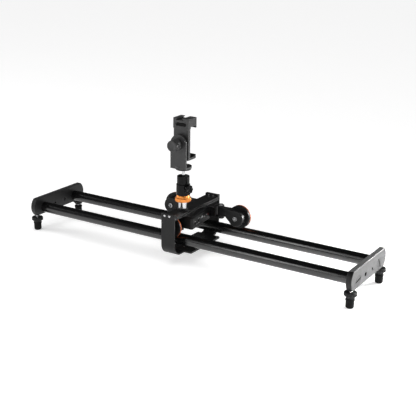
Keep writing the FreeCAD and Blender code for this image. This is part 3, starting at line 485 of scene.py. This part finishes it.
# ribbed knobs
clampKnob = {"place": (-17.5, -78.0, 264.6), "grip": 12.7, "collar": 8.0, "stud": 2.95,
             "ribs": 26, "rib": 0.75, "pointsPerRib": 8, "sharp": 0.8}
headKnob = {"place": (-15.5, -34.5, 163.6), "turn": -22.0, "grip": 10.9, "boss": 6.0, "pin": 3.95,
            "lobes": 8, "lobe": 1.7, "pointsPerLobe": 16}


# a plain face disc, a groove, a ribbed grip and a collar down to the stud; heights run from the face inwards
def makeClampKnob(v):
    g = v["grip"]
    profile = [(g - 5.0, 0.7), (g - 4.4, 0.0)]
    profile += corner(g - 1.6, 1.2, 1.2, -90, 0)
    profile += [(g - 0.4, 7.4), (g - 0.9, 8.0), (g - 1.8, 8.2), (g - 1.8, 9.3), (g - 0.8, 9.5), (g, 10.2, v["rib"])]
    profile += [(g, 12.0, v["rib"]), (g, 16.0, v["rib"]), (g, 18.9, v["rib"]), (g - 0.9, 19.7, 0.2)]
    profile += [(v["collar"], 19.9), (v["collar"], 24.4), (v["collar"] - 0.4, 24.7), (v["stud"], 24.7)]
    profile += [(v["stud"], 35.0)]
    knob = turnedSolid("pivotKnobRibbed", profile, np.array(v["place"]) * mm, (0, 1, 0), "clamp_lock",
                       v["ribs"] * v["pointsPerRib"], v["ribs"], v["sharp"])
    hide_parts("pivot_knob")
    paint(knob, "clamp")


# lobed knob on a pin; heights run outwards from the head's axis
def makeHeadKnob(v):
    g = v["grip"]
    profile = [(v["pin"] - 0.3, 10.25), (v["pin"], 10.5), (v["pin"], 16.0)]
    profile += [(v["boss"] - 0.2, 16.05), (v["boss"], 16.3), (v["boss"], 17.2)]
    profile += [(g - 1.4, 17.5, 0.9), (g, 18.6, v["lobe"]), (g, 20.6, v["lobe"]), (g, 22.2, v["lobe"])]
    profile += [(g - 0.5, 23.0, 1.4), (g - 1.6, 23.5, 0.7), (g - 4.5, 23.5), (g - 5.0, 23.1)]
    turn = math.radians(v["turn"])
    knob = turnedSolid("headKnobLobed", profile, np.array(v["place"]) * mm,
                       (math.cos(turn), math.sin(turn), 0), "ball_lock",
                       v["lobes"] * v["pointsPerLobe"], v["lobes"], 1.0)
    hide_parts("head_knob")
    paint(knob, "head")


makeClampKnob(clampKnob)
makeHeadKnob(headKnob)
print("knobs ribbed")

# ribbed rubber pads of the clamp
pads = {"pitch": 2.2, "rib": 0.55, "perRib": 8}


# outline of a pad: flat back, face at thickness t less rib * (0.5 - 0.5 cos(2 pi s / pitch)) along s
def padOutline(length, thickness, v):
    count = max(int(round(length / v["pitch"])), 1)
    s = np.linspace(0, length, count * v["perRib"] + 1)
    face = thickness - v["rib"] * (0.5 - 0.5 * np.cos(2 * np.pi * s * count / length))
    return np.vstack([[[0.0, 0.0]], np.stack([s, face], -1), [[length, 0.0]]])


# pads as outlines pushed along X; a row is width, origin, direction along the pad, direction that the ribs face,
# length and thickness in mm
def makePads(name, node, body, rows, v):
    points = []
    faces = []
    for width, origin, along, facing, length, thickness in rows:
        outline = padOutline(length, thickness, v)
        flat = outline[:, :1] * np.array(along) + outline[:, 1:] * np.array(facing) + np.array(origin)
        faces += prismFaces(len(points), len(flat), np.cross(along, facing)[0] > 0)
        points += (flat + [-width / 2, 0, 0]).tolist() + (flat + [width / 2, 0, 0]).tolist()
    piece = addMesh(name, np.array(points) * mm, faces, body, False)
    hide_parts(node)
    paint(piece, "rubber")


makePads("lowerPadsRibbed", "lower_pads", "clamp", [
    (30, (-17.5, -34.6, 248.6), (0, 0, 1), (0, 1, 0), 40.0, 1.6),
    (34, (-17.5, -33.0, 232.4), (0, 1, 0), (0, 0, 1), 18.3, 1.6)], pads)
makePads("upperPadRibbed", "upper_pad", "jaw", [
    (34, (-17.5, -33.0, 300.9), (0, 1, 0), (0, 0, -1), 18.3, 1.6)], pads)
print("pads ribbed")

# plain printed marks on the switch panel, and a dark patch in the jaw's recess that is painted shade: a row is the
# place along the face, the place up it, and the length and height of a round-ended patch, in mm
panelMarks = {"corner": (22.5, -55.0, 0.0), "turn": 6.892, "from": -0.2, "to": 0.06, "rows": [
    (60.5, 92.6, 3.0, 1.2), (44.5, 93.6, 6.0, 1.1), (34.5, 96.2, 2.2, 1.2), (30.0, 96.2, 2.2, 1.2),
    (22.5, 85.4, 4.0, 1.1), (14.0, 93.4, 5.0, 1.1), (33.0, 85.8, 5.0, 1.0), (74.0, 92.4, 3.0, 1.0)]}
jawRecessShade = {"corner": (-17.5, -39.6, 0.0), "turn": -90.0, "from": -0.1, "to": 0.9,
            "rows": [(0.0, 305.1, 24.6, 6.2)]}


# round-ended outline: each half circle of radius tall / 2 is shifted outwards by the straight part
def roundedPatch(along, height, length, tall, steps=32):
    r = tall / 2
    turn = np.linspace(0, 2 * np.pi, steps, endpoint=False)
    shift = (length / 2 - r) * np.sign(np.cos(turn))
    return np.stack([along + shift + r * np.cos(turn), height + r * np.sin(turn)], -1)


# flat patches on an upright face that is turned about Z, from a little under it to a little proud of it
def makePatches(name, body, v):
    turn = math.radians(v["turn"])
    along = np.array([-math.sin(turn), math.cos(turn), 0.0])
    outward = np.array([math.cos(turn), math.sin(turn), 0.0])
    points = []
    faces = []
    for row in v["rows"]:
        patch = roundedPatch(*row)
        flat = np.array(v["corner"]) + patch[:, :1] * along + patch[:, 1:] * np.array([0, 0, 1.0])
        faces += prismFaces(len(points), len(flat))
        points += (flat + v["from"] * outward).tolist() + (flat + v["to"] * outward).tolist()
    return addMesh(name, np.array(points) * mm, faces, body, False)


printed = makePatches("panelMarks", "carriage", panelMarks)
printed.data.materials.append(markInk)
# a dark sheet in the jaw's recess: painted shade where the recess falls dark
recessShade = makePatches("jawRecessShade", "jaw", jawRecessShade)
paint(recessShade, "rubber")
print("panel marked")

# camera, floor and light
camera = {"place": (1.0247, -1.6263, 0.7465), "yaw": 31.51, "down": 18.32, "roll": 1.03, "lens": 78.69,
          "sensor": 36, "clipEnd": 50}


# an object that stands at a place with its own X, Y and Z along the given directions
def standAt(thing, place, right, up, back):
    matrix = np.eye(4)
    matrix[:3, 0], matrix[:3, 1], matrix[:3, 2], matrix[:3, 3] = right, up, back, place
    thing.matrix_world = Matrix(matrix.tolist())


# yaw is measured from +Y towards -X, down from the level, and roll about the line of sight, in degrees
def addCamera(v):
    yaw, down, roll = (math.radians(v[k]) for k in ("yaw", "down", "roll"))
    ahead = np.array([-math.sin(yaw) * math.cos(down), math.cos(yaw) * math.cos(down), -math.sin(down)])
    level = np.array([math.cos(yaw), math.sin(yaw), 0.0])
    upright = np.cross(level, ahead)
    right = level * math.cos(roll) + upright * math.sin(roll)
    up = -level * math.sin(roll) + upright * math.cos(roll)
    lens = bpy.data.cameras.new("camera")
    lens.lens = v["lens"]
    lens.sensor_width = v["sensor"]
    lens.clip_end = v["clipEnd"]
    eye = bpy.data.objects.new("camera", lens)
    bpy.context.scene.collection.objects.link(eye)
    standAt(eye, v["place"], right, up, -ahead)
    bpy.context.scene.camera = eye


floorPaper = {"size": 9.0, "tones": (0.90, 0.915), "mottle": 14, "roughness": 0.9, "glow": 0.42}


def addFloor(v):
    size = v["size"]
    mesh = bpy.data.meshes.new("floor")
    points = [(-size, -size, 0), (size, -size, 0), (size, size, 0), (-size, size, 0)]
    mesh.from_pydata(points, [], [(0, 1, 2, 3)])
    floor = bpy.data.objects.new("floor", mesh)
    bpy.context.scene.collection.objects.link(floor)
    material, tree, links, shader = newMaterial("floorPaper")
    paper = noise(tree, links, objectPattern(tree, links), v["mottle"], detail=4.0)
    links.new(ramp(tree, links, paper, *v["tones"]), shader.inputs["Base Color"])
    shader.inputs["Roughness"].default_value = v["roughness"]
    shader.inputs["Emission Color"].default_value = (1, 1, 1, 1)
    shader.inputs["Emission Strength"].default_value = v["glow"]
    mesh.materials.append(material)


lamps = {
    "front": {"place": (0.6, -2.6, 0.55), "aim": (0.1, 0, 0.1), "size": (2.6, 0.35), "power": 9},
    "left": {"place": (-2.4, -0.9, 1.0), "aim": (0, 0, 0.1), "size": (0.5, 1.2), "power": 14},
    "frontLeft": {"place": (-0.9, -2.2, 1.1), "aim": (0, 0, 0.2), "size": (0.25, 1.3), "power": 8},
    "right": {"place": (2.3, 0.2, 0.8), "aim": (0.3, 0, 0.1), "size": (1.0, 0.8), "power": 12},
    "plateRake": {"place": (0.80, 0.62, 0.20), "aim": (0.41, 0.0, 0.05), "size": (0.45, 0.30), "power": 2.2,
                  "spread": 36},  # skims the right end plate's outer face
}
sky = {"horizon": 0.12, "overhead": 0.03, "from": 0.05, "upTo": 0.45, "backdrop": 0.93}
sunlight = {"strength": 1.7, "angle": 70.0, "tilt": (6, -4, 0)}


def addLamp(name, v):
    light = bpy.data.lights.new(name, "AREA")
    light.shape = "RECTANGLE"
    light.size, light.size_y = v["size"]
    light.energy = v["power"]
    light.spread = math.radians(v.get("spread", 180))
    lamp = bpy.data.objects.new(name, light)
    lamp.visible_camera = False
    bpy.context.scene.collection.objects.link(lamp)
    back = np.array(v["place"], float) - np.array(v["aim"], float)
    back /= np.linalg.norm(back)
    level = np.cross((0, 0, 1), back)
    level /= np.linalg.norm(level)
    standAt(lamp, v["place"], level, np.cross(back, level), back)


# broad light from above that leaves no glint on the rails' tops
def addCeiling(v):
    sun = bpy.data.lights.new("ceiling", "SUN")
    sun.energy = v["strength"]
    sun.angle = math.radians(v["angle"])
    ceiling = bpy.data.objects.new("ceiling", sun)
    bpy.context.scene.collection.objects.link(ceiling)
    ceiling.visible_glossy = False
    ceiling.rotation_euler = [math.radians(t) for t in v["tilt"]]


# a dim grey surround, darker overhead, lights and reflects in the object; the camera sees a near-white backdrop
def addSky(v):
    world = bpy.data.worlds.new("studio")
    world.use_nodes = True
    tree, links = world.node_tree.nodes, world.node_tree.links
    direction = tree.new("ShaderNodeTexCoord")
    split = tree.new("ShaderNodeSeparateXYZ")
    links.new(direction.outputs["Generated"], split.inputs["Vector"])
    surround = ramp(tree, links, split.outputs["Z"], v["horizon"], v["overhead"], v["from"], v["upTo"])
    lightPath = tree.new("ShaderNodeLightPath")
    tone = blend(tree, links, lightPath.outputs["Is Camera Ray"], surround, (v["backdrop"],) * 3)
    links.new(tone, tree["Background"].inputs["Color"])
    bpy.context.scene.world = world


addCamera(camera)
addFloor(floorPaper)
for name, values in lamps.items():
    addLamp(name, values)
addCeiling(sunlight)
addSky(sky)
bpy.context.scene.view_settings.view_transform = "Standard"
print("stage set")

print("object ready")
